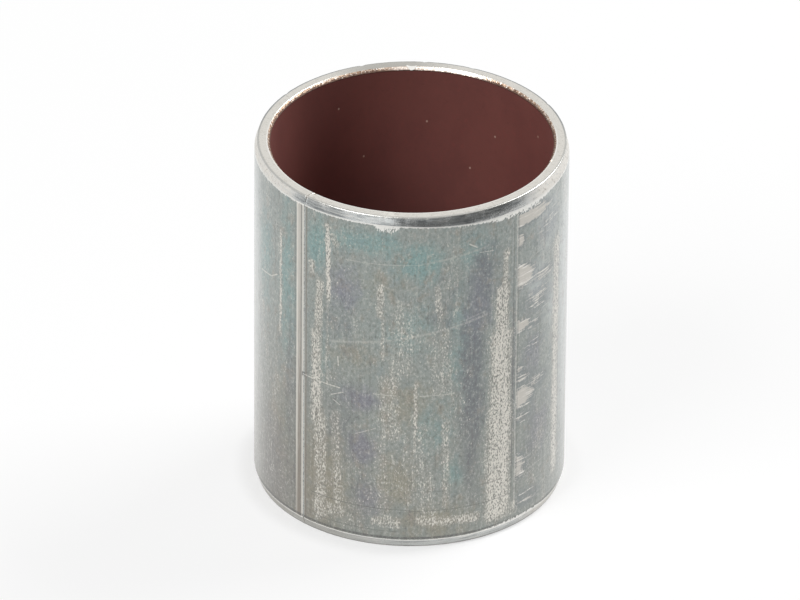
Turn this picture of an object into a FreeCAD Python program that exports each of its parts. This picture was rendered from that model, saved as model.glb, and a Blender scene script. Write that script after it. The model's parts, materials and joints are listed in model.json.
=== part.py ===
# Wrapped sleeve bearing: a composite strip rolled into a bush with a butt joint.
# The wall has three bonded layers, from outside to inside: a steel backing,
# a sintered bronze interlayer and a thin low-friction sliding layer.
# +Z runs along the bore, the origin is the centre of the lower end face,
# and the joint lies at -Y. Sizes are in millimetres and degrees.

import FreeCAD, Part
import math
import os

import Sketcher
from FreeCAD import Vector

doc = FreeCAD.newDocument("sleeve_bearing")


# Driving sizes

SIZES = {
    # the bore that the shaft runs in, and the length of the bush
    "bore_diameter": 45.0,
    "bush_length": 61.0,
    # the wall, layer by layer
    "steel_thickness": 2.10,
    "bronze_thickness": 0.36,
    "sliding_thickness": 0.04,
    # the long lead-in chamfer outside, which eases the bush into its housing
    "outer_chamfer_length": 1.50,
    "outer_chamfer_angle": 17.5,
    # the short chamfer inside, which lays the bronze bare at both ends
    "inner_chamfer_length": 0.55,
    "inner_chamfer_depth": 0.45,
    # the butt joint, and the rounding of the strip's outer corners beside it
    "joint_gap": 0.15,
    "joint_corner_radius": 0.40,
    # how far the cylinders that part the layers reach past the end faces
    "parting_overrun": 1.0,
}

sheet = doc.addObject("Spreadsheet::Sheet", "Sizes")
for row, (alias, value) in enumerate(SIZES.items(), start=1):
    sheet.set(f"A{row}", alias)
    sheet.set(f"B{row}", str(value))
    sheet.setAlias(f"B{row}", alias)
doc.recompute()

# Radii and angles that follow from the driving sizes, as formulas on the sheet

BORE_RADIUS = "Sizes.bore_diameter / 2"
BRONZE_INNER_RADIUS = f"{BORE_RADIUS} + Sizes.sliding_thickness"
STEEL_INNER_RADIUS = f"{BRONZE_INNER_RADIUS} + Sizes.bronze_thickness"
OUTER_RADIUS = f"{STEEL_INNER_RADIUS} + Sizes.steel_thickness"
OUTER_CHAMFER_DEPTH = "Sizes.outer_chamfer_length * tan(Sizes.outer_chamfer_angle * 1 deg)"
ROLLED_ANGLE = f"360 deg - 2 * asin(Sizes.joint_gap / (2 * ({OUTER_RADIUS})))"


def origin_plane(body, role):
    """The body's own origin plane with this role."""
    for feature in body.Origin.OriginFeatures:
        if feature.Role == role:
            return feature
    raise ValueError(f"{body.Label} has no plane {role}")


def bind(sketch, name, formula, *constraint):
    """Add a dimension to a sketch, name it and tie it to the sheet."""
    index = sketch.addConstraint(Sketcher.Constraint(*constraint))
    sketch.renameConstraint(index, name)
    sketch.setExpression(f"Constraints.{name}", formula)


# The strip's section: the wall cut along the bore, chamfered at both ends


def draw_wall_section(body):
    """Sketch with the radius along its first axis and the bore's axis along its second."""
    sketch = body.newObject("Sketcher::SketchObject", "wall_section")
    sketch.AttachmentSupport = [(origin_plane(body, "YZ_Plane"), "")]
    sketch.MapMode = "FlatFace"

    wall = SIZES["sliding_thickness"] + SIZES["bronze_thickness"] + SIZES["steel_thickness"]
    inside = SIZES["bore_diameter"] / 2
    outside = inside + wall
    length = SIZES["bush_length"]
    inner_depth = SIZES["inner_chamfer_depth"]
    inner_run = SIZES["inner_chamfer_length"]
    outer_run = SIZES["outer_chamfer_length"]
    outer_depth = outer_run * math.tan(math.radians(SIZES["outer_chamfer_angle"]))
    corners = [
        Vector(inside + inner_depth, 0),
        Vector(outside - outer_depth, 0),
        Vector(outside, outer_run),
        Vector(outside, length - outer_run),
        Vector(outside - outer_depth, length),
        Vector(inside + inner_depth, length),
        Vector(inside, length - inner_run),
        Vector(inside, inner_run),
    ]
    lines = []
    for start, end in zip(corners, corners[1:] + corners[:1]):
        lines.append(sketch.addGeometry(Part.LineSegment(start, end), False))
    for line, following in zip(lines, lines[1:] + lines[:1]):
        sketch.addConstraint(Sketcher.Constraint("Coincident", line, 2, following, 1))
    low_face, low_lead_in, outer_wall, _, high_face, _, bore_wall, low_edge_break = lines

    # the upper half mirrors the lower half about the middle of the length
    middle = sketch.addGeometry(
        Part.LineSegment(Vector(0, length / 2), Vector(outside, length / 2)), True
    )
    root_point, x_axis, y_axis = (-1, 1), -1, -2
    sketch.addConstraint(Sketcher.Constraint("PointOnObject", middle, 1, y_axis))
    sketch.addConstraint(Sketcher.Constraint("PointOnObject", middle, 2, outer_wall))
    sketch.addConstraint(Sketcher.Constraint("Horizontal", middle))
    sketch.addConstraint(Sketcher.Constraint("Symmetric", low_face, 1, high_face, 2, middle))
    sketch.addConstraint(Sketcher.Constraint("Symmetric", low_face, 2, high_face, 1, middle))
    sketch.addConstraint(Sketcher.Constraint("Symmetric", outer_wall, 1, outer_wall, 2, middle))
    sketch.addConstraint(Sketcher.Constraint("Symmetric", bore_wall, 1, bore_wall, 2, middle))
    sketch.addConstraint(Sketcher.Constraint("PointOnObject", low_face, 1, x_axis))
    sketch.addConstraint(Sketcher.Constraint("Horizontal", low_face))

    bind(sketch, "half_length", "Sizes.bush_length / 2",
         "DistanceY", *root_point, middle, 1, length / 2)
    bind(sketch, "bore_radius", BORE_RADIUS,
         "DistanceX", *root_point, bore_wall, 1, inside)
    bind(sketch, "outer_radius", OUTER_RADIUS,
         "DistanceX", *root_point, outer_wall, 1, outside)
    bind(sketch, "lead_in_length", "Sizes.outer_chamfer_length",
         "DistanceY", low_lead_in, 1, low_lead_in, 2, outer_run)
    bind(sketch, "lead_in_depth", OUTER_CHAMFER_DEPTH,
         "DistanceX", low_lead_in, 1, low_lead_in, 2, outer_depth)
    bind(sketch, "edge_break_length", "Sizes.inner_chamfer_length",
         "DistanceY", low_edge_break, 2, low_edge_break, 1, inner_run)
    bind(sketch, "edge_break_depth", "Sizes.inner_chamfer_depth",
         "DistanceX", low_edge_break, 1, low_edge_break, 2, inner_depth)
    return sketch


# Rolling: the section is turned round the bore until its two ends almost meet at -Y


def roll_strip():
    """The whole wall as one body, rolled and with the outer corners of the joint rounded."""
    body = doc.addObject("PartDesign::Body", "rolled_strip")
    section = draw_wall_section(body)

    rolled = body.newObject("PartDesign::Revolution", "rolled_wall")
    rolled.Profile = section
    rolled.ReferenceAxis = (section, ["V_Axis"])
    rolled.Midplane = True
    rolled.setExpression("Angle", ROLLED_ANGLE)
    doc.recompute()

    rounded = body.newObject("PartDesign::Fillet", "joint_corners")
    rounded.Base = (rolled, outer_joint_edges(rolled.Shape))
    rounded.setExpression("Radius", "Sizes.joint_corner_radius")
    doc.recompute()
    return body


def outer_joint_edges(shape):
    """Names of the two long edges where the outside of the strip meets its cut ends."""
    outside = shape.BoundBox.XMax
    close = SIZES["joint_gap"]
    names = []
    for number, edge in enumerate(shape.Edges, start=1):
        start, end = edge.Vertexes[0].Point, edge.Vertexes[-1].Point
        upright = (start - end).cross(Vector(0, 0, 1)).Length < Part.Precision.confusion()
        radius = Vector(start.x, start.y, 0).Length
        at_joint = abs(start.x) < close and start.y < 0
        if upright and at_joint and abs(radius - outside) < close:
            names.append(f"Edge{number}")
    return names


# Parting: two cylinders split the rolled wall into its three layers


def parting_cylinder(name, radius):
    """A cylinder about the bore that reaches past both end faces."""
    cylinder = doc.addObject("Part::Cylinder", name)
    cylinder.setExpression("Radius", radius)
    cylinder.setExpression("Height", "Sizes.bush_length + 2 * Sizes.parting_overrun")
    cylinder.setExpression("Placement.Base.z", "-Sizes.parting_overrun")
    return cylinder


def boolean(kind, label, base, tool):
    """A boolean of two objects: Part::Cut takes the tool away, Part::Common keeps what both hold."""
    result = doc.addObject(kind, label)
    result.Base = base
    result.Tool = tool
    return result


strip = roll_strip()
inside_bronze = parting_cylinder("inside_bronze", BRONZE_INNER_RADIUS)
inside_steel = parting_cylinder("inside_steel", STEEL_INNER_RADIUS)

metal = boolean("Part::Cut", "metal_layers", strip, inside_bronze)
layers = [
    boolean("Part::Cut", "steel_backing", metal, inside_steel),
    boolean("Part::Common", "bronze_layer", metal, inside_steel),
    boolean("Part::Common", "sliding_layer", strip, inside_bronze),
]
doc.recompute()


# Checks, then one STEP file for each layer

for item in doc.Objects:
    if {"Invalid", "Error"} & set(item.State):
        raise RuntimeError(f"{item.Label} failed: {item.State}")

for layer in layers:
    if layer.Shape.isNull() or not layer.Shape.isValid() or len(layer.Shape.Solids) != 1:
        raise RuntimeError(f"{layer.Label} is not one valid solid")

wall_volume = strip.Shape.Volume
layered_volume = sum(layer.Shape.Volume for layer in layers)
if abs(layered_volume - wall_volume) > wall_volume * 1e-6:
    raise RuntimeError("the layers don't fill the wall")

os.makedirs("parts", exist_ok=True)
for layer in layers:
    layer.Shape.exportStep(f"parts/{layer.Label}.step")
    print(f"{layer.Label}: {layer.Shape.Volume:.1f} mm3, {layer.Shape.BoundBox}")
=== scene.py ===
# %% [markdown]
# # A used sleeve bearing
# This lesson dresses a wrapped plain bearing. The real one is a strip of three bonded layers,
# cut, chamfered and rolled until its two ends meet in a butt joint: a steel back, a thin
# layer of sintered bronze, and a red-brown polymer skin that the shaft runs on.
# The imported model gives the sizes. Blender adds the rounded edges, the grain of the bronze
# and everything that use has done to the surfaces.

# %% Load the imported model
import json
import math

import bmesh
import bpy
from mathutils import Matrix, Vector, noise


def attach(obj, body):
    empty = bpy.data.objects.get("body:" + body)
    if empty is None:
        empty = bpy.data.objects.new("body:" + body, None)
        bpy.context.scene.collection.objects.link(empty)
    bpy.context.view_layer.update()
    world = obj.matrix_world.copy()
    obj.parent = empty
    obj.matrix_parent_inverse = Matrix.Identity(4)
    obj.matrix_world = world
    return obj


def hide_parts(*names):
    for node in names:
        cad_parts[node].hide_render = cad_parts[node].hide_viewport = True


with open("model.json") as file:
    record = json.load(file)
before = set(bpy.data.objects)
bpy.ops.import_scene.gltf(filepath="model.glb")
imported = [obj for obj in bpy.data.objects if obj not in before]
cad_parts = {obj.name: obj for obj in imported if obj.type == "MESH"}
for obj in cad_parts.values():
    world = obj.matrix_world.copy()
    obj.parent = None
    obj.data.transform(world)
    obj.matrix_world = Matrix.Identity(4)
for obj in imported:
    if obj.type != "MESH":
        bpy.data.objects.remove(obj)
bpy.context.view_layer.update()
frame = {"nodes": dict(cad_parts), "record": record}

print("nodes:", sorted(frame["nodes"]))

# %% [markdown]
# ## Sizes
# A maker's drawing of such a bush gives its bore, its outside, its length and its layers.
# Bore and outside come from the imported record, so that they can't drift from the model. The
# layers and chamfers are the drawing's own figures, in millimetres, and everything else
# is worked out from them.

# %% Driving sizes
MM = 0.001
mounts = {mount["name"]: mount for mount in frame["record"]["mounts"]}
BORE_RADIUS = mounts["bore"]["dims"]["r_mm"]
OUTER_RADIUS = mounts["outside"]["dims"]["r_mm"]
LENGTH = mounts["upper_end"]["pos_m"][2] / MM

SLIDING_THICKNESS = 0.04
BRONZE_THICKNESS = 0.36
OUTER_CHAMFER_LENGTH = 1.50
OUTER_CHAMFER_ANGLE = math.radians(17.5)
INNER_CHAMFER_LENGTH = 0.55
INNER_CHAMFER_DEPTH = 0.45
JOINT_GAP = 0.03
JOINT_CORNER_RADIUS = 0.20

BRONZE_INNER = BORE_RADIUS + SLIDING_THICKNESS
STEEL_INNER = BRONZE_INNER + BRONZE_THICKNESS
OUTER_CHAMFER_DEPTH = OUTER_CHAMFER_LENGTH * math.tan(OUTER_CHAMFER_ANGLE)
LAND_OUTER = OUTER_RADIUS - OUTER_CHAMFER_DEPTH
LAND_INNER = BORE_RADIUS + INNER_CHAMFER_DEPTH
JOINT_HALF_ANGLE = math.asin(JOINT_GAP / 2 / OUTER_RADIUS)
print(f"wall {OUTER_RADIUS - BORE_RADIUS:.2f} mm, land {LAND_OUTER - LAND_INNER:.2f} mm")


def inner_chamfer_height(radius):
    """Height above the lower end at which the inner chamfer has this radius."""
    return INNER_CHAMFER_LENGTH * (1 - (radius - BORE_RADIUS) / INNER_CHAMFER_DEPTH)


# %% [markdown]
# ## Rolling a layer
# A layer of the strip has one section all the way round, so spinning that section about the
# bore is the natural way to make it, as rolling is in the workshop. The spin starts at
# one cut end of the strip and stops at the other. Its first and last steps are finer, because
# the outer corners of the cut ends are rounded there, and a coarse step would flatten them.

# %% Spin a section from one side of the joint to the other
CORNER_WIDTH = 0.55
FINE_TURN = CORNER_WIDTH / OUTER_RADIUS
FINE_STEPS = 11
print(f"fine steps of {CORNER_WIDTH / FINE_STEPS:.2f} mm next to the joint")


def rolled_layer(section, roundings, steps, cuts=()):
    """Bmesh of a closed section of (radius, height) corners, each rounded, spun about the bore."""
    mesh = bmesh.new()
    corners = [mesh.verts.new((radius * MM, 0, height * MM)) for radius, height in section]
    mesh.faces.new(corners)
    for corner, reach in zip(corners, roundings):
        if reach:
            bmesh.ops.bevel(mesh, geom=[corner], offset=reach * MM, offset_type="OFFSET", segments=3,
                            profile=0.5, affect="VERTICES", material=-1)
    for is_cut, count in cuts:
        edges = [edge for edge in mesh.edges if is_cut(*(vert.co / MM for vert in edge.verts))]
        bmesh.ops.subdivide_edges(mesh, edges=edges, cuts=count)

    to_joint = Matrix.Rotation(JOINT_HALF_ANGLE - math.pi / 2, 3, "Z")
    bmesh.ops.rotate(mesh, cent=(0, 0, 0), matrix=to_joint, verts=mesh.verts)
    around = math.tau - 2 * JOINT_HALF_ANGLE - 2 * FINE_TURN
    moving = mesh.verts[:] + mesh.edges[:] + mesh.faces[:]
    for angle, count in ((FINE_TURN, FINE_STEPS), (around, steps), (FINE_TURN, FINE_STEPS)):
        spun = bmesh.ops.spin(mesh, geom=moving, cent=(0, 0, 0), axis=(0, 0, 1), angle=angle,
                              steps=count, use_merge=False, use_duplicate=False)
        moving = spun["geom_last"]
    bmesh.ops.recalc_face_normals(mesh, faces=mesh.faces)
    return mesh


# %% Helpers for places round the bore, and for a finished piece
SHARP_ANGLE = math.radians(32)


def joint_distance(point):
    """Way round the outside from the joint's middle to a point, in millimetres, positive to +X."""
    return OUTER_RADIUS * math.atan2(point.x, -point.y)


def set_radius(vert, radius):
    """Move a vertex straight out or in to this radius, in millimetres."""
    factor = radius * MM / math.hypot(vert.co.x, vert.co.y)
    vert.co.x *= factor
    vert.co.y *= factor


def finished(mesh, name, node, material):
    """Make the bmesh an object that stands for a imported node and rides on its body."""
    data = bpy.data.meshes.new(name)
    mesh.to_mesh(data)
    mesh.free()
    data.shade_smooth()
    data.set_sharp_from_angle(angle=SHARP_ANGLE)
    data.materials.append(material)
    piece = bpy.data.objects.new(name, data)
    bpy.context.scene.collection.objects.link(piece)
    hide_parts(node)
    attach(piece, "root")
    triangles = sum(len(face.vertices) - 2 for face in data.polygons)
    print(f"{name}: {len(data.vertices)} vertices, {triangles} triangles")


# %% [markdown]
# ## Nodes as arithmetic
# Wear is easiest to think of as sums: this much patina, less where the housing has rubbed.
# A small class wraps a socket so that such a sum, written in Python, adds the Math nodes.
# Colours and places go through Mix and Vector Math. Every other node comes from one method.

# %% A socket with arithmetic
class Value:
    """A socket's output. Arithmetic on it adds Math nodes to its graph."""

    def __init__(self, graph, socket):
        self.graph = graph
        self.socket = socket

    def __add__(self, other):
        return self.graph.math("ADD", self, other)

    def __sub__(self, other):
        return self.graph.math("SUBTRACT", self, other)

    def __rsub__(self, other):
        return self.graph.math("SUBTRACT", other, self)

    def __mul__(self, other):
        return self.graph.math("MULTIPLY", self, other)

    def __or__(self, other):
        return self.graph.math("MAXIMUM", self, other)

    def __abs__(self):
        return self.graph.math("ABSOLUTE", self)

    __radd__ = __add__
    __rmul__ = __mul__

    def output(self, name):
        """Another output of the same node."""
        return Value(self.graph, self.socket.node.outputs[name])

    def rise(self, start, end, low=0.0, high=1.0):
        """Low up to start and high from end on, with a smooth step between. It falls if end is less."""
        return self.graph.node("ShaderNodeMapRange", {"interpolation_type": "SMOOTHSTEP"},
                               {0: self, 1: start, 2: end, 3: low, 4: high})


# %% The graph that adds nodes
class Graph:
    """The node tree of a material or of the world."""

    def __init__(self, owner):
        owner.use_nodes = True
        self.tree = owner.node_tree
        self.tree.nodes.clear()

    def node(self, kind, settings=None, sockets=None, output=0):
        """Add a node: its settings first, then its sockets' values or links. Gives one output."""
        made = self.tree.nodes.new(kind)
        for name, setting in (settings or {}).items():
            setattr(made, name, setting)
        for key, value in (sockets or {}).items():
            if isinstance(value, Value):
                self.tree.links.new(value.socket, made.inputs[key])
            else:
                made.inputs[key].default_value = value
        return Value(self, made.outputs[output]) if made.outputs else None

    def math(self, operation, *terms):
        return self.node("ShaderNodeMath", {"operation": operation}, dict(enumerate(terms)))

    def blend(self, share, under, over):
        """A colour that goes from under to over as share goes from 0 to 1."""
        settings = {"data_type": "RGBA", "blend_type": "MIX"}
        return self.node("ShaderNodeMix", settings, {0: share, 6: under, 7: over}, output=2)


# %% Screen colours
def srgb(red, green, blue):
    """A screen colour of three numbers to 255, as the linear colour that a shader takes."""
    def linear(value):
        value /= 255
        return value / 12.92 if value <= 0.04045 else ((value + 0.055) / 1.055) ** 2.4
    return (linear(red), linear(green), linear(blue), 1.0)


print("a screen grey of 128 is", round(srgb(128, 128, 128)[0], 3), "in a shader")

# %% [markdown]
# ## Places on the unrolled strip
# Marks of use are told best on the strip laid flat: so many millimetres round from the joint,
# so many up from the lower end. The surface's own coordinates give both with one arctangent.
# A long mark is a stroke from one place to another, and a blot is a spot. A flat place is a
# pair of plain numbers, so that measuring it from a mark's middle is a multiply and an add.

# %% Unrolled coordinates, strokes and spots
class Strip(Graph):
    """The graph of one layer's material, with places on the unrolled strip in millimetres."""

    def __init__(self, material):
        super().__init__(material)
        self.where = self.node("ShaderNodeTexCoord", output="Object")
        self.point = self.node("ShaderNodeVectorMath", {"operation": "SCALE"},
                               {0: self.where, "Scale": 1 / MM})
        x = self.node("ShaderNodeSeparateXYZ", {}, {0: self.point})
        y = x.output("Y")
        self.height = x.output("Z")
        self.turn = self.math("ARCTAN2", x, 0 - y) * OUTER_RADIUS
        self.radius = self.math("SQRT", x * x + y * y)
        self.flat = (self.turn, self.height)

    def grain(self, stretch, detail=2.0, roughness=0.5, shift=(0, 0, 0)):
        """Noise about 0.5. Stretch gives the cells per millimetre along each axis."""
        scale = Vector(stretch) / MM
        moved = self.node("ShaderNodeMapping", {},
                          {"Vector": self.where, "Scale": scale, "Location": shift})
        return self.node("ShaderNodeTexNoise", {},
                         {"Vector": moved, "Scale": 1.0, "Detail": detail, "Roughness": roughness})

    def ragged(self, cell, amount):
        """The flat place, pushed about by noise with this cell size, so that outlines fray."""
        push = self.grain((1 / cell, 1 / cell, 0.4 / cell), detail=3.0).output("Color")
        push = self.node("ShaderNodeSeparateColor", {}, {0: push})
        return (self.turn + (push - 0.5) * amount, self.height + (push.output("Green") - 0.5) * amount)

    def along(self, place, middle, direction, reach):
        """How far a place lies from the middle along a direction: 1 at this reach."""
        step = Vector(direction).normalized() / reach
        distance = -step.dot(Vector(middle))
        for coordinate, rate in zip(place, step):
            if abs(rate) > 1e-6:
                distance = self.math("MULTIPLY_ADD", coordinate, rate, distance)
        return distance

    def stroke(self, place, start, end, half_width, edge=0.5, tip=0.15):
        """1 on a long mark, falling to 0 over the outer share of its width and of its length."""
        way = Vector(end) - Vector(start)
        middle = (Vector(end) + Vector(start)) / 2
        lengthways = abs(self.along(place, middle, way, way.length / 2))
        sideways = abs(self.along(place, middle, way.orthogonal(), half_width))
        return lengthways.rise(1, 1 - tip) * sideways.rise(1, 1 - edge)

    def spot(self, place, middle, half_width, half_height, core=0.3):
        """1 in the core of a round blot, falling to 0 at its rim."""
        sideways = self.along(place, middle, (1, 0), half_width)
        upwards = self.along(place, middle, (0, 1), half_height)
        return self.math("SQRT", sideways * sideways + upwards * upwards).rise(1, core)

    def surface(self, colour, roughness, metallic, normal, **constants):
        """Close the graph with the shader and its output."""
        sockets = {"Base Color": colour, "Roughness": roughness, "Metallic": metallic, "Normal": normal}
        shader = self.node("ShaderNodeBsdfPrincipled", {}, {**sockets, **constants})
        self.node("ShaderNodeOutputMaterial", {}, {"Surface": shader})

    def bump(self, height, depth):
        """A normal from a height of 0 to 1 that stands for this many millimetres."""
        return self.node("ShaderNodeBump", {}, {"Height": height, "Distance": depth * MM, "Strength": 1.0})


print(f"the unrolled strip is {math.tau * OUTER_RADIUS:.1f} mm by {LENGTH:.1f} mm")


# %% [markdown]
# ## The steel back
# Bought new, the back has an even grey-green skin. Pressing it in and out of a housing
# has rubbed that skin through in upright bands, where small flakes of pale bare steel show, and
# the turned ends were never coated at all. All this could be painted on one picture, but a
# picture blurs close up and needs a seam. So the finish is built from nodes, in the order in
# which it came about on the real bush: the skin's tints first, and then one kind of mark
# after the other.
#
# A kind of mark is a list. Each mark has its place, its size and its strength, and where two
# cross, the stronger one counts. The renderer can keep only some 250 results at a time, and
# so many marks would need more. So a few are drawn at a time, and the next ones wait for them.

# %% The strongest of many marks
MARKS_AT_ONCE = 5
NUDGE = 1e-6


def after(place, result):
    """The place, nudged by far less than a hair, so that what is drawn there waits for the result."""
    turn, height = place
    return (turn + result * NUDGE, height)


def strongest_of(marks, draw, place):
    """The strongest of many marks at each place. Each is drawn, and then weighed by its strength."""
    strongest = None
    for count, (*shape, strength) in enumerate(marks, start=1):
        if count % MARKS_AT_ONCE == 0:
            place = after(place, strongest)
        mark = draw(place, *shape) * strength
        strongest = mark if strongest is None else strongest | mark
    return strongest


print(f"{MARKS_AT_ONCE} marks are drawn at a time")

# %% [markdown]
# ### The skin
# The real skin is a thin plating that has tarnished, so its tint drifts between teal, olive,
# violet and slate over a centimetre or two. A plain noise could scatter such tints, but on this
# bush each one sits in its own places. So every tint has a few large blots, and a noise that
# differs from tint to tint breaks their outlines up.

# %% Tints of the skin, and where each one gathers
SKIN = srgb(140, 148, 143)
TEAL = srgb(120, 153, 150)
VIOLET = srgb(120, 122, 133)
OLIVE = srgb(142, 138, 117)
SLATE = srgb(106, 114, 118)
PALE_SHEEN = srgb(188, 194, 193)

# each blot: the place of its middle, its half width and half height, its strength
TEAL_BLOTS = [
    ((-3.9, 44), 3.4, 26, 0.9), ((2.6, 54), 3.4, 8, 1.2), ((13.5, 56), 9, 4.5, 0.9),
    ((20, 53), 7, 6.5, 1.1), ((27, 36), 4.5, 22, 0.7), ((18.5, 40), 8, 9, 0.55),
    ((-4.5, 14), 4, 14, 0.7), ((25.8, 13.5), 3, 5, 0.9), ((8, 56), 5, 4, 0.8),
    ((29, 54), 7, 6, 0.7), ((3.4, 33), 3, 10, 0.4), ((22, 22), 6, 9, 0.6), ((-11, 45), 5, 16, 0.8),
]
VIOLET_BLOTS = [
    ((10.6, 27), 5.4, 4, 1.2), ((10.8, 18), 4.4, 4.5, 1.4), ((7.5, 47), 5, 8, 0.9),
    ((12, 8.5), 5, 5, 0.9), ((41, 31), 5, 7, 0.7), ((43, 17), 5, 9, 0.7), ((29.5, 44), 4, 9, 0.7),
]
OLIVE_BLOTS = [
    ((4, 10), 8, 17, 1.1), ((16.5, 12), 6, 9, 0.8), ((9, 35), 7, 6, 0.5),
    ((18, 27), 9, 9, 0.6), ((23, 5), 12, 6, 0.8), ((14, 49), 9, 6, 0.4), ((-6, 14), 6, 16, 0.9),
]
SLATE_BLOTS = [
    ((28.6, 30), 3.8, 36, 1.25), ((30.5, 48), 4.6, 12, 1.2), ((-3, 24), 2, 28, 0.7),
    ((36.3, 30), 0.9, 28, 1.0), ((7, 22), 6, 14, 0.6), ((-7.5, 7), 7, 20, 1.2), ((-2, 8), 5, 16, 0.6),
    ((11, 10), 4, 12, 0.6), ((6.5, 40), 4.5, 9, 0.55), ((24, 44), 5, 14, 0.5), ((41, 14), 4, 12, 0.6),
]
# pale blots towards both outlines of the view: a painted sheen, not a tint of the skin
SHEEN_BLOTS = [
    ((-21, 38), 12, 50, 1.7), ((-15, 30), 6, 34, 0.6), ((45, 54), 6, 12, 0.9), ((41.5, 44), 5.5, 7, 0.9),
    ((53, 36), 8, 44, 1.3), ((46, 38), 5, 12, 0.7),
]
print(len(TEAL_BLOTS), "teal and", len(SLATE_BLOTS), "slate blots, and some of each other tint")

# %% The skin's colour
steel_finish = bpy.data.materials.new("worn_steel")
strip = Strip(steel_finish)
height, turn, radius = strip.height, strip.turn, strip.radius
frayed = strip.ragged(cell=0.6, amount=1.0)

mottle = strip.grain((0.5, 0.5, 0.34), detail=6.0, roughness=0.7)
mottle_red = strip.node("ShaderNodeSeparateColor", {}, {0: mottle.output("Color")})
mottle_green = mottle_red.output("Green")
mottle_blue = mottle_red.output("Blue")
# the pale sheen last in this list is painted light, laid on in the same way as the tints
tints = [
    (TEAL, TEAL_BLOTS, mottle_red), (OLIVE, OLIVE_BLOTS, mottle_green), (SLATE, SLATE_BLOTS, mottle_blue),
    (VIOLET, VIOLET_BLOTS, mottle_red), (PALE_SHEEN, SHEEN_BLOTS, mottle_green),
]
colour = SKIN
for tint, blots, mottled in tints:
    share = strongest_of(blots, lambda *blot: strip.spot(*blot, core=0.0), frayed)
    frayed = after(frayed, share)
    share = (share * 0.95 + (mottled - 0.5) * 2.0).rise(0.0, 1.1)
    colour = strip.blend(share, colour, tint)
print("skin:", len(tints), "tints,", len(strip.tree.nodes), "nodes")

# %% Painted shade low on the wall, upright streaks and fine grain
PATINA_PALE = srgb(190, 191, 183)
GRIME_AND_SHADE = srgb(78, 78, 76)
UMBER = srgb(128, 118, 104)

colour = strip.blend(mottle_green.rise(0.52, 0.7) * 0.5, colour, UMBER)
# painted shade: the lower wall, most of all on the left, is darkened as if it mirrored the shaded floor
# beside the bush
low_wall_shade = height.rise(48, 2) * turn.rise(14, -6, 0.35, 1.0)
colour = strip.blend(low_wall_shade * 0.6, colour, UMBER)
streaks = strip.grain((1.6, 1.6, 0.09), detail=3.0, roughness=0.6)
colour = strip.blend(streaks.rise(0.55, 0.75) * 0.25, colour, PATINA_PALE)
colour = strip.blend(streaks.rise(0.45, 0.28) * 0.3, colour, GRIME_AND_SHADE)
fine = strip.grain((2.2, 2.2, 1.6), detail=4.0, roughness=0.75)
colour = strip.blend(fine.rise(0.51, 0.7) * 0.6, colour, PATINA_PALE)
colour = strip.blend(fine.rise(0.48, 0.3) * 0.6, colour, GRIME_AND_SHADE)
print("with its grain:", len(strip.tree.nodes), "nodes")

# %% [markdown]
# ### Rubbed bands
# Where the housing's high spots pressed, the skin came off in small flakes, thickest in the middle
# of a band. Drawing each flake would take thousands of marks. One fine noise holds them
# all instead: the denser a band, the more of that noise counts as bare steel.

# %% Bands of flakes
WORN_STEEL = srgb(170, 166, 155)
BARE_STEEL = srgb(216, 212, 203)

# each band of flakes: its upper and lower place, half width, and how dense the flakes are
FLAKED = [
    ((4.6, 58.8), (4.9, 43), 0.7, 0.95), ((4.8, 45), (4.6, 27), 0.45, 0.5),
    ((3.3, 48), (2.6, 32), 1.3, 0.8), ((2.6, 39), (2.6, 19), 1.7, 0.8),
    ((3.2, 24), (3.7, 1.5), 2.1, 0.72), ((6.2, 25), (6.7, 5), 1.6, 0.6),
    ((13.7, 49.2), (13.6, 42), 1.0, 0.7), ((14.0, 44), (14.2, 34), 0.6, 0.55),
    ((15.4, 36), (16.6, 22), 1.0, 0.45), ((13.6, 21), (14.6, 3), 2.0, 0.42),
    ((22.6, 49), (23.4, 42), 1.0, 0.58), ((23.2, 44), (24.2, 32), 1.1, 0.4),
    ((19.5, 32), (19.3, 16.5), 0.55, 0.68), ((24.2, 25), (24.5, 6), 1.2, 0.5),
    ((21, 15), (21.5, 3), 2.6, 0.42), ((34.7, 53.5), (34.2, 40), 1.0, 0.75),
    ((34.1, 47), (34.0, 32), 2.3, 0.85), ((34.0, 39), (33.9, 18), 3.4, 0.95),
    ((33.9, 26), (33.4, 1.4), 3.9, 0.95),
    ((17.5, 47), (17.5, 31), 3.8, 0.42), ((23, 41), (24, 27), 3.4, 0.42),
    ((15, 33), (15.5, 19), 3.0, 0.5), ((20, 24), (19.5, 7), 3.4, 0.42), ((9.5, 9), (9.5, 2), 3.5, 0.4),
    ((47.9, 52), (48.0, 2), 2.0, 0.85), ((-5.6, 53.5), (-5.8, 32), 0.55, 0.9),
    ((-7.0, 30), (-7.2, 12), 0.8, 0.42),
    ((1.6, 50.5), (1.7, 47.5), 1.2, 0.55), ((5.2, 56.4), (6.6, 54), 1.0, 0.66),
    ((1.5, 5.6), (8.5, 5.2), 2.0, 0.62), ((12.2, 5.0), (17.6, 4.6), 1.8, 0.62),
    ((18.6, 5.2), (31, 4.4), 1.4, 0.72), ((31, 4), (38, 4), 2.4, 0.6),
]

density = strongest_of(FLAKED, lambda *band: strip.stroke(*band, edge=0.75, tip=0.2), frayed)
frayed = after(frayed, density)
everywhere = strip.grain((0.3, 0.3, 0.12), detail=4.0, roughness=0.65, shift=(7, 3, 0))
density = density | everywhere.rise(0.4, 0.75) * 0.42
grit = strip.grain((4.4, 4.4, 2.3), detail=3.0, roughness=0.6, shift=(0, 0, 11))
flaked = (grit + density * 0.26 + (streaks - 0.5) * 0.25).rise(0.68, 0.77)
colour = strip.blend(density.rise(0.1, 0.9) * 0.55, colour, WORN_STEEL)
colour = strip.blend(grit.rise(0.47, 0.34) * (density * 0.5 + 0.2), colour, GRIME_AND_SHADE)
colour = strip.blend(flaked * 0.9, colour, BARE_STEEL)
print(len(FLAKED), "bands of flakes")

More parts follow.
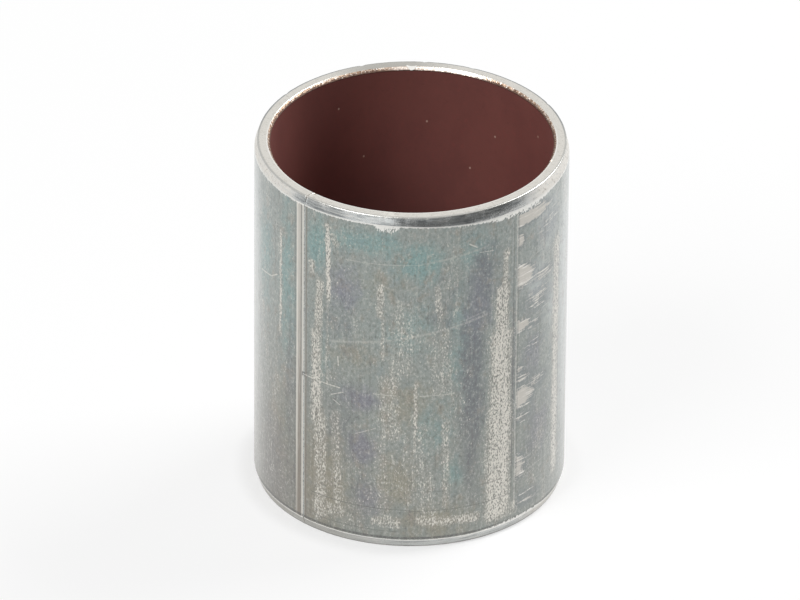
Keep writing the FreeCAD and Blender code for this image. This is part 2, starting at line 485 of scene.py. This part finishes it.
# %% [markdown]
# ### Smooth scuffs
# Right of one upright line the bush turned against something hard. That polished the skin away
# in patches with fine lines round the strip. A spot gives each patch its place, and a noise
# that is stretched round the strip cuts it into lines, which also lighten the skin between.

# %% Scuffs
RUBBED_STEEL = srgb(198, 193, 184)
BRIGHT_EDGE = srgb(243, 241, 236)

# each smooth scuff, rubbed flat and finely lined round the strip: its middle and half sizes
SCUFFS = [
    ((39.5, 56.9), 9.5, 2.3, 1.1), ((37.5, 53.2), 2.0, 2.2, 0.9), ((37.4, 46.4), 5.6, 3.4, 1.25),
    ((43, 44.6), 6, 2.2, 0.6), ((42, 40.6), 7, 4.6, 0.52), ((37.4, 37.3), 4.4, 1.9, 1.15),
    ((40.5, 36.6), 5, 1.6, 0.5), ((37.2, 29.2), 3.0, 1.7, 0.7), ((38.5, 27.4), 5, 2.0, 0.6),
    ((37.4, 24), 6.6, 3.4, 1.1), ((41.5, 25.5), 6, 3.0, 0.55), ((38, 20.2), 4.4, 1.8, 0.6),
    ((37.4, 11.2), 3.6, 4.2, 0.85), ((45, 53), 6, 5, 0.45), ((39.5, 4.5), 6, 3.0, 0.5),
    ((41, 33), 6, 2.6, 0.35),
]

scuff = strongest_of(SCUFFS, lambda *spot: strip.spot(*spot, core=0.1), frayed) * turn.rise(36.9, 37.2)
frayed = after(frayed, scuff)
lines = strip.grain((0.3, 0.3, 3.6), detail=4.0, roughness=0.65)
scuffed = scuff * 0.85 + (lines - 0.5) * 1.7 + (fine - 0.5) * 0.7
scuffed = scuffed.rise(0.4, 0.62) * scuff.rise(0.05, 0.3)
colour = strip.blend(scuff.rise(0, 0.5) * 0.5, colour, SLATE)
colour = strip.blend(scuffed * 0.85, colour, RUBBED_STEEL)
colour = strip.blend(scuffed * lines.rise(0.54, 0.68) * 0.7, colour, BRIGHT_EDGE)
edgewise = turn.rise(37, 41) * turn.rise(60, 47)
colour = strip.blend(edgewise * lines.rise(0.56, 0.7) * 0.3, colour, BARE_STEEL)
print(len(SCUFFS), "scuffs")

# %% [markdown]
# ### Beside the joint
# When the strip was rolled, its edges scraped along the tool: one side came out smooth
# and bright, the other rough, with a dirty groove between. These run the whole length, so each is
# only a range of the way round, broken up by a noise that is drawn out along the bore.

# %% The strip's edges at the joint
JOINT_DIRT = srgb(120, 108, 98)

brushed = strip.grain((5.5, 5.5, 0.35), detail=3.0, roughness=0.6)
rough_side = turn.rise(-1.7, -1.55) * turn.rise(-0.6, -0.75)
rough_tone = strip.blend(height.rise(50, 8) + (brushed - 0.5) * 1.6, RUBBED_STEEL, UMBER)
colour = strip.blend(rough_side * 0.85, colour, rough_tone)
groove = turn.rise(-0.85, -0.68) * turn.rise(-0.4, -0.55)
hairline = abs(turn - 0.5).rise(0.22, 0.08)
colour = strip.blend(groove * 0.45 | hairline * 0.6, colour, JOINT_DIRT)
ridge = turn.rise(-1.72, -1.58) * turn.rise(-1.2, -1.4)
ridge = ridge * brushed.rise(0.3, 0.5, 0.4, 0.9) * height.rise(0, 20, 0.4, 1.0)
smooth_side = turn.rise(-0.5, -0.38) * turn.rise(0.3, 0.12) * brushed.rise(0.25, 0.45, 0.65, 0.95)
colour = strip.blend(ridge | smooth_side * 0.85, colour, BARE_STEEL)
print("with its joint:", len(strip.tree.nodes), "nodes")

# %% [markdown]
# ### Scratches
# A scratch is a thin stroke. Real ones skip where the surface dips, so the same grit that holds
# the flakes also breaks each scratch into dashes.

# %% Fine scratches
# each scratch: its two ends, half width and strength
PALE_SCRATCHES = [
    ((-0.3, 28.4), (7.2, 28.3), 0.13, 1.0), ((12.5, 28.4), (16.4, 28.4), 0.09, 0.6),
    ((20, 28.4), (25.6, 28.4), 0.09, 0.6), ((6.62, 34.1), (6.72, 32.3), 0.13, 1.0),
    ((7.6, 52.3), (20.5, 52.6), 0.14, 0.3), ((20, 52.7), (31.5, 54.5), 0.3, 0.2),
    ((5, 36.5), (16, 38.7), 0.34, 0.22), ((15.5, 38.6), (31.5, 42), 0.34, 0.24),
    ((24.5, 41), (31, 42.6), 0.2, 0.2),
    ((-12.6, 41.6), (-8.4, 42.5), 0.16, 0.8), ((-8.6, 42.4), (-6.6, 43.8), 0.16, 0.9),
    ((5.4, 26.6), (7.7, 27.7), 0.13, 0.8), ((5.7, 25.9), (7.1, 25.1), 0.12, 0.7),
    ((27.8, 55.6), (29.3, 54.6), 0.16, 0.8), ((29.6, 53.6), (32.2, 53.3), 0.1, 0.7),
    ((36.85, 59.6), (36.9, 3), 0.14, 0.6),
    ((9.6, 20.4), (13.2, 22.1), 0.12, 0.5), ((15.7, 17.4), (16.1, 15.5), 0.22, 0.6),
]
DARK_SCRATCHES = [
    ((1.4, 7.2), (19, 7.1), 0.1, 0.8), ((18, 6.9), (37, 6.8), 0.09, 0.7),
    # the wide line at 1.8 mm along the whole front is no scratch: it darkens a band just above the lower
    # chamfer
    ((1, 3.1), (17, 3.0), 0.09, 0.6), ((-15, 1.85), (50, 1.8), 0.34, 0.85),
    ((19, 10.5), (24.6, 10.4), 0.08, 0.6), ((29.6, 10.3), (33.6, 10.3), 0.08, 0.6),
    ((36.25, 58), (36.2, 5), 0.16, 0.6), ((37.25, 59), (37.3, 6), 0.12, 0.6),
    ((-1.95, 59.5), (-1.95, 3), 0.25, 0.35), ((0.0, 28.8), (0.0, 28.0), 0.5, 1.3),
]

flat = after(strip.flat, scuff)
for scratches, tone in ((DARK_SCRATCHES, GRIME_AND_SHADE), (PALE_SCRATCHES, BARE_STEEL)):
    drawn = strongest_of(scratches, lambda *line: strip.stroke(*line, edge=0.8, tip=0.05), flat)
    flat = after(flat, drawn)
    colour = strip.blend(drawn * grit.rise(0.34, 0.56, 0.3, 1.0), colour, tone)
print(len(PALE_SCRATCHES), "pale and", len(DARK_SCRATCHES), "dark scratches")

# %% [markdown]
# ### The turned ends
# The chamfers and the flat lands were turned after the plating, so they are bare. Where the skin
# meets the chamfer it has chipped away in a ragged bright line. That line is a height above which
# the skin is gone, and noise makes the height uneven. On the right the chamfer is a
# little longer, and there the chips reach deeper.

# %% The chipped edge of the skin
LONGER_CHAMFER = 0.5
CHAMFER_GROWS = (16, 31)

chip_depth = grit.rise(0.4, 0.75) * 0.25
chip_depth += strip.spot(frayed, (14.6, 59.5), 2.4, 4, core=0.5) * grit.rise(0.25, 0.62)
chip_depth += turn.rise(28, 36) * turn.rise(46, 40) * fine.rise(0.35, 0.55) * 0.9
top_edge = LENGTH - OUTER_CHAMFER_LENGTH - turn.rise(*CHAMFER_GROWS) * LONGER_CHAMFER
chipped = (height + chip_depth - top_edge).rise(-0.06, 0.04)
chipped = chipped | (OUTER_CHAMFER_LENGTH + chip_depth * 0.4 - height).rise(-0.06, 0.04)
colour = strip.blend(chipped * 0.8, colour, BRIGHT_EDGE)
print(f"the upper chamfer ends at {LENGTH - OUTER_CHAMFER_LENGTH - LONGER_CHAMFER:.1f} mm on the right")

# %% Bare lands and chamfers
TURNED_STEEL = srgb(226, 222, 215)
LAND_STEEL = srgb(216, 213, 206)
CHAMFER_STEEL = srgb(196, 204, 208)
SHADED_STEEL = srgb(170, 168, 162)

turned = (OUTER_RADIUS - 0.03 - radius).rise(0, 0.03)
ends = strip.blend(mottle.rise(0.52, 0.68) * 0.3 | fine.rise(0.48, 0.32) * 0.5, LAND_STEEL, WORN_STEEL)
# painted highlight: the land's inner edge is brightened only on the side that faces the camera
facing_camera = turn.rise(-30, -20) * turn.rise(66, 56)
inner_edge_highlight = radius.rise(LAND_INNER + 0.25, LAND_INNER + 0.1)
ends = strip.blend(inner_edge_highlight * facing_camera * 0.7, ends, BRIGHT_EDGE)
# painted shade: the outer rounding of the land is darkened with slate, least on the side that faces the
# camera
rim = radius.rise(LAND_OUTER - 0.38, LAND_OUTER - 0.2) * height.rise(LENGTH - 0.3, LENGTH - 0.1)
ends = strip.blend(rim * (0.75 - facing_camera * 0.4), ends, SLATE)
print(f"the land is {LAND_OUTER - LAND_INNER:.2f} mm wide")

# %% Lines and wear on the chamfer
chamfered = radius.rise(LAND_OUTER - 0.02, LAND_OUTER + 0.08)
ends = strip.blend(chamfered * (fine * 0.5 + 0.3), ends, CHAMFER_STEEL)
ends = strip.blend(chamfered * lines.rise(0.5, 0.36) * 0.55, ends, SLATE)
ends = strip.blend(chamfered * lines.rise(0.54, 0.66) * 0.6, ends, BRIGHT_EDGE)
# outside the sector that faces the camera the chamfer is paler and rougher: partly wear, partly a painted
# reflection
side_sheen_and_wear = turn.rise(-1.5, -4.5) | turn.rise(36, 44)
ends = strip.blend(chamfered * side_sheen_and_wear * grit.rise(0.35, 0.55, 0.4, 0.95), ends, TURNED_STEEL)
ends = strip.blend(chamfered * side_sheen_and_wear * fine.rise(0.46, 0.32) * 0.6, ends, UMBER)
print("with its chamfer:", len(strip.tree.nodes), "nodes")

# %% Painted shade on the far land, the lower chamfer and its foot, and a burr
# each burr leans in over the bronze from the land: its way round the strip, half width and reach
BURRS = [(-59.9, 0.9, 0.6), (50.7, 0.35, 0.3), (0.5, 0.45, 0.25)]

# painted shade: the lower chamfer is darker as if it mirrored the shaded floor, most of all at the front
# and to the left
lower_chamfer_shade = height.rise(2, 1) * turn.rise(0, 22, 0.9, 0.3) * turn.rise(-30, -12, 0.45, 1.0)
# painted shade: the land is darker at the far side, opposite the camera
far_land_shade = strip.spot(strip.flat, (-56, LENGTH), 13, 3, core=0.2)
ends = strip.blend(lower_chamfer_shade | far_land_shade * 0.8, ends, SHADED_STEEL)
# painted contact shadow: the lowest third of a millimetre of the lower chamfer is darkened
ends = strip.blend(height.rise(0.35, 0.12) * 0.5, ends, GRIME_AND_SHADE)
colour = strip.blend(turned, colour, ends)
burr = strip.spot(strip.flat, (BURRS[0][0], LENGTH), 1.1, 1.1, core=0.6)
burr = burr * radius.rise(LAND_INNER + 0.5, LAND_INNER + 0.2)
colour = strip.blend(burr, colour, BRIGHT_EDGE)
rubbed = strip.spot(frayed, (14.8, 60.3), 2.0, 3.0, core=0.2) * fine.rise(0.35, 0.55)
rubbed = (rubbed | mottle_red.rise(0.5, 0.75) * 0.6) | chamfered * side_sheen_and_wear
print(len(BURRS), "burrs")

# %% [markdown]
# ### Gloss
# The colour alone doesn't tell bare steel from skin: bare steel mirrors more sharply. The same
# masks therefore drive how metallic and how rough the surface is. The skin is also a thin clear
# film, so it gets a coat, which brightens it towards the outline as on the real bush.

# %% The cut ends, and the steel's surface
in_joint = abs(turn).rise(0.06, 0.03) * (OUTER_RADIUS - 0.15 - radius).rise(0, 0.15)
colour = strip.blend(in_joint * 0.8, colour, JOINT_DIRT)

bare = (flaked | chipped) | (scuffed | turned)
smooth = turned * (1 - rubbed)
metallic = bare * 0.2 + 0.72
roughness = 0.44 + fine * 0.08 - bare * 0.04 - smooth * 0.22
relief = grit * 0.7 + lines * turned * 0.5
coat = 1 - turned
strip.surface(colour, roughness, metallic, strip.bump(relief, 0.02),
              **{"Coat Weight": coat, "Coat Roughness": 0.22, "Coat IOR": 1.7})
print("steel material:", len(strip.tree.nodes), "nodes")

# %% [markdown]
# ## Modelling the steel back
# The section has a long lead-in chamfer outside and the start of the short inner one. Real
# edges are never sharp: each corner gets a small rounding, which is what catches the light
# round the rim. After the spin the outer corners of the two cut ends are rounded as well, and
# the rim gets the small nicks and burrs that knocks have left. They could be bump in the
# material, but they show against the background, so they are true shape.

# %% The steel's section and its spin
steel_section = [
    (LAND_INNER, 0), (LAND_OUTER, 0), (OUTER_RADIUS, OUTER_CHAMFER_LENGTH),
    (OUTER_RADIUS, LENGTH - OUTER_CHAMFER_LENGTH), (LAND_OUTER, LENGTH), (LAND_INNER, LENGTH),
    (STEEL_INNER, LENGTH - inner_chamfer_height(STEEL_INNER)),
    (STEEL_INNER, inner_chamfer_height(STEEL_INNER)),
]
STEEL_ROUNDINGS = (0.04, 0.07, 0.12, 0.12, 0.11, 0.04, 0, 0)
STEPS = 480
steel_mesh = rolled_layer(steel_section, STEEL_ROUNDINGS, STEPS)
print("steel back:", len(steel_mesh.verts), "vertices")


# %% Shapes of the joint's corner, the burrs and the dents
def joint_drop(distance):
    """How far the rounded corner of a cut end lies under the outside, this far from the joint."""
    inside = JOINT_CORNER_RADIUS - (abs(distance) - JOINT_GAP / 2)
    if inside <= 0:
        return 0.0
    return JOINT_CORNER_RADIUS - math.sqrt(max(JOINT_CORNER_RADIUS**2 - inside**2, 0))


def burr_lean(distance):
    """How far a burr reaches in over the bronze, this far round from the joint."""
    leans = [reach * min(1, 1.6 - 1.6 * abs(distance - way) / half) for way, half, reach in BURRS]
    return max(0, *leans)


# nicks in the upper outer edge: way round from the joint, half width and depth
RIM_NICKS = [(0.1, 0.3, 0.12), (14.2, 0.3, 0.06), (17.6, 0.25, 0.07), (21, 0.4, 0.06), (27.5, 0.5, 0.06),
             (-36, 0.6, 0.09), (-51.6, 0.6, 0.14), (-62, 0.5, 0.1), (-70, 0.7, 0.08), (58, 0.5, 0.06),
             (70, 0.6, 0.08)]
DENT_DEPTH = 0.035
DENTS_PER_MM = 1.3


def dent_depth(vert, distance, is_upper):
    """How far the outer edge is knocked in: a little everywhere, and more at a nick."""
    wobble = 0.5 + 0.5 * noise.noise(vert.co / MM * DENTS_PER_MM)
    dent = DENT_DEPTH * wobble
    if is_upper:
        dent += sum(depth * max(0, 1 - abs(distance - way) / half) for way, half, depth in RIM_NICKS)
    return dent


def smooth_step(value, start, end):
    """0 up to start and 1 from end on, with the same smooth step as the material's."""
    share = min(max((value - start) / (end - start), 0), 1)
    return share * share * (3 - 2 * share)


print(len(RIM_NICKS), "nicks")

# %% Wear on the steel's edges
for vert in steel_mesh.verts:
    out = math.hypot(vert.co.x, vert.co.y) / MM
    above = vert.co.z / MM
    distance = joint_distance(vert.co)
    is_upper = above > LENGTH / 2
    if out < LAND_OUTER - 0.15:
        if above > LENGTH - 0.03:
            lean = burr_lean(distance)
            set_radius(vert, out - lean)
            vert.co.z -= lean * 0.7 * MM
        continue
    out = min(out, OUTER_RADIUS - joint_drop(distance))
    if min(above, LENGTH - above) < OUTER_CHAMFER_LENGTH / 2:
        dent = dent_depth(vert, distance, is_upper)
        out -= dent
        vert.co.z += math.copysign(dent * 0.5 * MM, LENGTH / 2 - above)
    elif is_upper:
        vert.co.z -= LONGER_CHAMFER * smooth_step(distance, *CHAMFER_GROWS) * MM
    set_radius(vert, out)

finished(steel_mesh, "steel_back", "steel_backing", steel_finish)

# %% [markdown]
# ## The bronze layer
# Under the polymer lies bronze powder, sintered onto the steel. It shows only where the inner
# chamfer cuts it, as a narrow ring of sparkling grains with polymer in the pores between them.
# The chamfered faces are cut finely, and each vertex is pushed in or out, so the
# grains are real facets that glint one by one. The material colours grains and pores.

# %% The bronze's material
BRONZE = srgb(200, 174, 151)
BRONZE_PALE = srgb(246, 238, 230)
BRONZE_DULL = srgb(154, 126, 105)
PORE = srgb(100, 72, 58)
GRAINS_PER_MM = 5.2
HIGHLIGHT_SIDE = Vector((-0.53, 0.848, 0))


def bronze_material():
    material = bpy.data.materials.new("sintered_bronze")
    strip = Strip(material)
    cells = strip.node("ShaderNodeTexVoronoi", {"feature": "F1"},
                       {"Vector": strip.point, "Scale": GRAINS_PER_MM, "Randomness": 1.0})
    shade = strip.node("ShaderNodeSeparateColor", {}, {0: cells.output("Color")})
    patches = strip.grain((0.5, 0.5, 0.5), detail=3.0)
    colour = strip.blend(shade.rise(0.2, 0.8), BRONZE_DULL, BRONZE)
    colour = strip.blend(shade.output("Green").rise(0.6, 0.95), colour, BRONZE_PALE)

    # the far side, where the key light mirrors in the ring, is painted pale as a highlight; elsewhere
    # polymer darkens the ring towards the bore
    place = strip.node("ShaderNodeVectorMath", {"operation": "DOT_PRODUCT"},
                       {0: strip.point, 1: HIGHLIGHT_SIDE / BORE_RADIUS}, output="Value")
    painted_highlight = place.rise(0.92, 0.99)
    inward = strip.radius.rise(STEEL_INNER - 0.08, BRONZE_INNER + 0.02)
    pores = (shade.output("Blue") + patches * 0.6 + inward * 0.9 - painted_highlight * 0.45).rise(0.95, 1.35)
    colour = strip.blend(pores * (0.9 - painted_highlight * 0.4), colour, PORE)
    colour = strip.blend(painted_highlight * 0.45, colour, BRONZE_PALE)
    roughness = 0.42 + pores * 0.25
    metallic = 0.95 - pores * 0.6
    strip.surface(colour, roughness, metallic, strip.bump(1 - cells, 0.02))
    return material


bronze_finish = bronze_material()
print("bronze material:", len(bronze_finish.node_tree.nodes), "nodes")

# %% The bronze's section, its spin and its grains
bronze_section = [
    (BRONZE_INNER, inner_chamfer_height(BRONZE_INNER)),
    (STEEL_INNER, inner_chamfer_height(STEEL_INNER)),
    (STEEL_INNER, LENGTH - inner_chamfer_height(STEEL_INNER)),
    (BRONZE_INNER, LENGTH - inner_chamfer_height(BRONZE_INNER)),
]
GRAIN_STEPS = 1100
GRAIN_CUTS = 6
GRAIN_DEPTH = 0.009
FACETS_PER_MM = 7.3
SWELLS_PER_MM = 5


def is_chamfered(one, other):
    """True for the section's two slanting edges, which the inner chamfer has cut."""
    return abs(one.x - other.x) > 0.1


bronze_mesh = rolled_layer(bronze_section, (0, 0, 0, 0), GRAIN_STEPS, cuts=[(is_chamfered, GRAIN_CUTS)])
for vert in bronze_mesh.verts:
    radius = math.hypot(vert.co.x, vert.co.y) / MM
    if BRONZE_INNER + 0.02 < radius < STEEL_INNER - 0.02:
        facet = noise.cell(vert.co / MM * FACETS_PER_MM) - 0.5
        grain = facet + noise.noise(vert.co / MM * SWELLS_PER_MM)
        set_radius(vert, radius + GRAIN_DEPTH * grain)
        vert.co.z += math.copysign(GRAIN_DEPTH * 0.6 * grain * MM, vert.co.z - LENGTH / 2 * MM)
finished(bronze_mesh, "bronze_ring", "bronze_layer", bronze_finish)

# %% [markdown]
# ## The sliding layer
# The skin in the bore is a filled polymer, satin and dark red-brown, with a few pale specks of
# filler. Its cut edge at the chamfer is darker and a little uneven. A plain cylinder in one
# colour would look like paint, so soft clouds of two tones vary it, and noise moves its edge.

# %% The liner's material
LINER = srgb(124, 75, 69)
LINER_DARK = srgb(111, 66, 62)
LINER_RED = srgb(132, 74, 69)
LINER_EDGE = srgb(74, 42, 32)
FILLER = srgb(205, 175, 160)

# specks of filler that show in the upper half of the bore: way round and height, in millimetres
SPECKS = [(-62.7, 51.1), (-75.9, 50.8), (69.4, 55.6), (-70.8, 43.6), (-46.3, 55.1), (-51.3, 45.2)]


def liner_material():
    material = bpy.data.materials.new("red_brown_polymer")
    strip = Strip(material)
    clouds = strip.grain((0.14, 0.14, 0.09), detail=3.0)
    mottle = strip.grain((1.4, 1.4, 1.1), detail=3.0, roughness=0.6)
    colour = strip.blend(clouds.rise(0.35, 0.65) * 0.5, LINER, LINER_DARK)
    colour = strip.blend(mottle.rise(0.5, 0.8) * 0.6, colour, LINER_RED)
    colour = strip.blend(mottle.rise(0.42, 0.25) * 0.5, colour, LINER_DARK)
    dots = [strip.spot(strip.flat, place, 0.24, 0.28) for place in SPECKS]
    speck = dots[0]
    for dot in dots[1:]:
        speck = speck | dot
    colour = strip.blend(speck * 0.9, colour, FILLER)
    from_middle = abs(strip.height - LENGTH / 2)
    edge = (from_middle + mottle * 0.15).rise(LENGTH / 2 - 0.62, LENGTH / 2 - 0.5)
    colour = strip.blend(edge, colour, LINER_EDGE)
    roughness = 0.48 + mottle * 0.12
    strip.surface(colour, roughness, 0.0, strip.bump(mottle, 0.012))
    return material


liner_finish = liner_material()
print("liner material:", len(liner_finish.node_tree.nodes), "nodes")

# %% The liner's section and spin
liner_section = [
    (BORE_RADIUS, INNER_CHAMFER_LENGTH),
    (BRONZE_INNER, inner_chamfer_height(BRONZE_INNER)),
    (BRONZE_INNER, LENGTH - inner_chamfer_height(BRONZE_INNER)),
    (BORE_RADIUS, LENGTH - INNER_CHAMFER_LENGTH),
]
# how far the two waves of the liner's frayed edge reach, and how many there are per millimetre
FRAYS = [(0.06, 1.7), (0.04, 4)]
liner_mesh = rolled_layer(liner_section, (0, 0, 0, 0), STEPS)
for vert in liner_mesh.verts:
    fray = sum(reach * noise.noise(vert.co / MM * rate) for reach, rate in FRAYS)
    vert.co.z += math.copysign(fray * MM, vert.co.z - LENGTH / 2 * MM)
finished(liner_mesh, "liner", "sliding_layer", liner_finish)

# %% [markdown]
# ## Floor and surroundings
# The bush stands on a plain white floor in a soft white studio. The floor and the world show
# themselves to the camera as plain white, and metal mirrors them as white too, but the floor
# still takes a little of the object's shadow. Behind the camera the studio is dark near its
# horizon, as a real room is, except for a window on the side of the joint. The chamfer mirrors
# that horizon, which is why it is dark in front and to the right but bright on the left.

# %% Floor
FLOOR_RADIUS = 0.45
FLOOR_DROP = 0.02
WHITE = (0.985, 0.985, 0.985, 1.0)
FLOOR_PAINT = (0.95, 0.95, 0.95, 1.0)


def sees_background(graph):
    """1 for rays that should meet plain white: the camera's, and those mirrored or let through."""
    rays = graph.node("ShaderNodeLightPath", output="Is Camera Ray")
    return rays | (rays.output("Is Glossy Ray") | rays.output("Is Transmission Ray"))


floor_mesh = bmesh.new()
bmesh.ops.create_circle(floor_mesh, cap_ends=True, segments=96, radius=FLOOR_RADIUS,
                        matrix=Matrix.Translation((0, 0, -FLOOR_DROP * MM)))
floor_data = bpy.data.meshes.new("floor")
floor_mesh.to_mesh(floor_data)
floor_mesh.free()
floor = bpy.data.objects.new("floor", floor_data)
bpy.context.scene.collection.objects.link(floor)
print(f"floor: {2 * FLOOR_RADIUS:.2f} m across")

# %% Floor finish: plain white, greyer where the bush stands
floor_finish = bpy.data.materials.new("white_floor")
graph = Graph(floor_finish)
lit = graph.node("ShaderNodeBsdfDiffuse", {}, {"Color": FLOOR_PAINT})
plain = graph.node("ShaderNodeEmission", {}, {"Color": WHITE, "Strength": 1.0})
place = graph.node("ShaderNodeTexCoord", output="Object")
away = graph.node("ShaderNodeVectorMath", {"operation": "LENGTH"}, {0: place}, output="Value")
plainness = away.rise(OUTER_RADIUS * MM, (OUTER_RADIUS + 4) * MM, 0.5, 0.82)
either = graph.node("ShaderNodeMixShader", {}, {0: sees_background(graph) * plainness, 1: lit, 2: plain})
graph.node("ShaderNodeOutputMaterial", {}, {"Surface": either})
floor_data.materials.append(floor_finish)
print("floor material:", len(floor_finish.node_tree.nodes), "nodes")

# %% Studio surroundings
# bearings are counted from the joint, positive to +X
CAMERA_BEARING = math.radians(42.4)
WINDOW_BEARING = math.radians(13)
LEFT_GLOW = 0.42
FILL = 0.16
HORIZON = 0.08

world = bpy.data.worlds.new("studio")
bpy.context.scene.world = world
graph = Graph(world)
direction = graph.node("ShaderNodeTexCoord", output="Generated")
parts = graph.node("ShaderNodeSeparateXYZ", {}, {0: direction})
towards_camera = parts * math.sin(CAMERA_BEARING) - parts.output("Y") * math.cos(CAMERA_BEARING)
towards_window = parts * math.sin(WINDOW_BEARING) - parts.output("Y") * math.cos(WINDOW_BEARING)
to_the_right = parts * math.cos(CAMERA_BEARING) + parts.output("Y") * math.sin(CAMERA_BEARING)
window = towards_window.rise(0.885, 0.987) | to_the_right.rise(-0.45, -0.8) * LEFT_GLOW
dark = towards_camera.rise(-0.25, 0.4) * (1 - window) * parts.output("Z").rise(0.46, 0.16)
mirrored = 1 - dark * (1 - HORIZON)
rays = graph.node("ShaderNodeLightPath", output="Is Camera Ray")
is_mirrored = rays.output("Is Glossy Ray")
shown = rays | rays.output("Is Transmission Ray")
level = shown + (1 - shown) * (is_mirrored * mirrored + (1 - is_mirrored) * FILL)
background = graph.node("ShaderNodeBackground", {}, {"Color": WHITE, "Strength": level})
graph.node("ShaderNodeOutputWorld", {}, {"Surface": background})
print("world:", len(world.node_tree.nodes), "nodes")

# %% [markdown]
# ## Camera
# The picture was taken from far off with a long lens, a little over 31 degrees above the table,
# with the joint left of the middle. The figures are those of a camera whose outlines of
# the rim, the base and the bore fall on the picture's own.

# %% Camera
FRAME_WIDTH = 800
FOCAL_PIXELS = 11556.6
SENSOR_WIDTH = 36.0
ELEVATION = math.radians(31.258)
ROLL = math.radians(-0.4969)
DISTANCE = 1847.9
SIDEWAYS = 1.672
UPWARD = -0.484

right = Vector((1, 0, 0))
up = Vector((0, math.sin(ELEVATION), math.cos(ELEVATION)))
forward = Vector((0, math.cos(ELEVATION), -math.sin(ELEVATION)))
rolled_right = math.cos(ROLL) * right - math.sin(ROLL) * up
rolled_up = math.sin(ROLL) * right + math.cos(ROLL) * up
middle = Vector((0, 0, LENGTH / 2))
eye = middle - SIDEWAYS * rolled_right - UPWARD * rolled_up - DISTANCE * forward

lens = bpy.data.cameras.new("camera")
lens.sensor_width = SENSOR_WIDTH
lens.lens = FOCAL_PIXELS * SENSOR_WIDTH / FRAME_WIDTH
lens.clip_start = 0.1
lens.clip_end = 20
camera = bpy.data.objects.new("camera", lens)
bpy.context.scene.collection.objects.link(camera)
bpy.context.scene.camera = camera
pose = Matrix((rolled_right, rolled_up, -forward)).transposed().to_4x4()
pose.translation = eye * MM
camera.matrix_world = Matrix.Rotation(CAMERA_BEARING, 4, "Z") @ pose
print("camera at", [round(v, 3) for v in camera.matrix_world.translation], "lens", round(lens.lens, 1))

# %% [markdown]
# ## Light
# One large soft light stands to the upper left of the camera: it reaches down the right side of
# the bore, leaves the near left in shade and flares on the bronze grains opposite. A weaker one
# on the right lifts the far left of the bore. The surroundings do the rest.

# %% Key light and side light
def soft_light(name, bearing, elevation, distance, size, power):
    """A square area light that faces the bush. The bearing is seen from the camera, right positive."""
    lamp = bpy.data.lights.new(name, "AREA")
    lamp.shape = "SQUARE"
    lamp.size = size
    lamp.energy = power
    light = bpy.data.objects.new(name, lamp)
    bpy.context.scene.collection.objects.link(light)
    bearing = math.radians(bearing) + CAMERA_BEARING
    elevation = math.radians(elevation)
    towards = Vector((math.sin(bearing) * math.cos(elevation), -math.cos(bearing) * math.cos(elevation),
                      math.sin(elevation)))
    light.location = middle * MM + towards * distance
    light.rotation_mode = "QUATERNION"
    light.rotation_quaternion = towards.to_track_quat("Z", "Y")
    print(f"{name} light: {power} W")


soft_light("key", bearing=-47, elevation=44, distance=1.5, size=0.8, power=14.5)
soft_light("side", bearing=122, elevation=42, distance=1.5, size=0.8, power=20.0)

bpy.context.scene.view_settings.view_transform = "Standard"
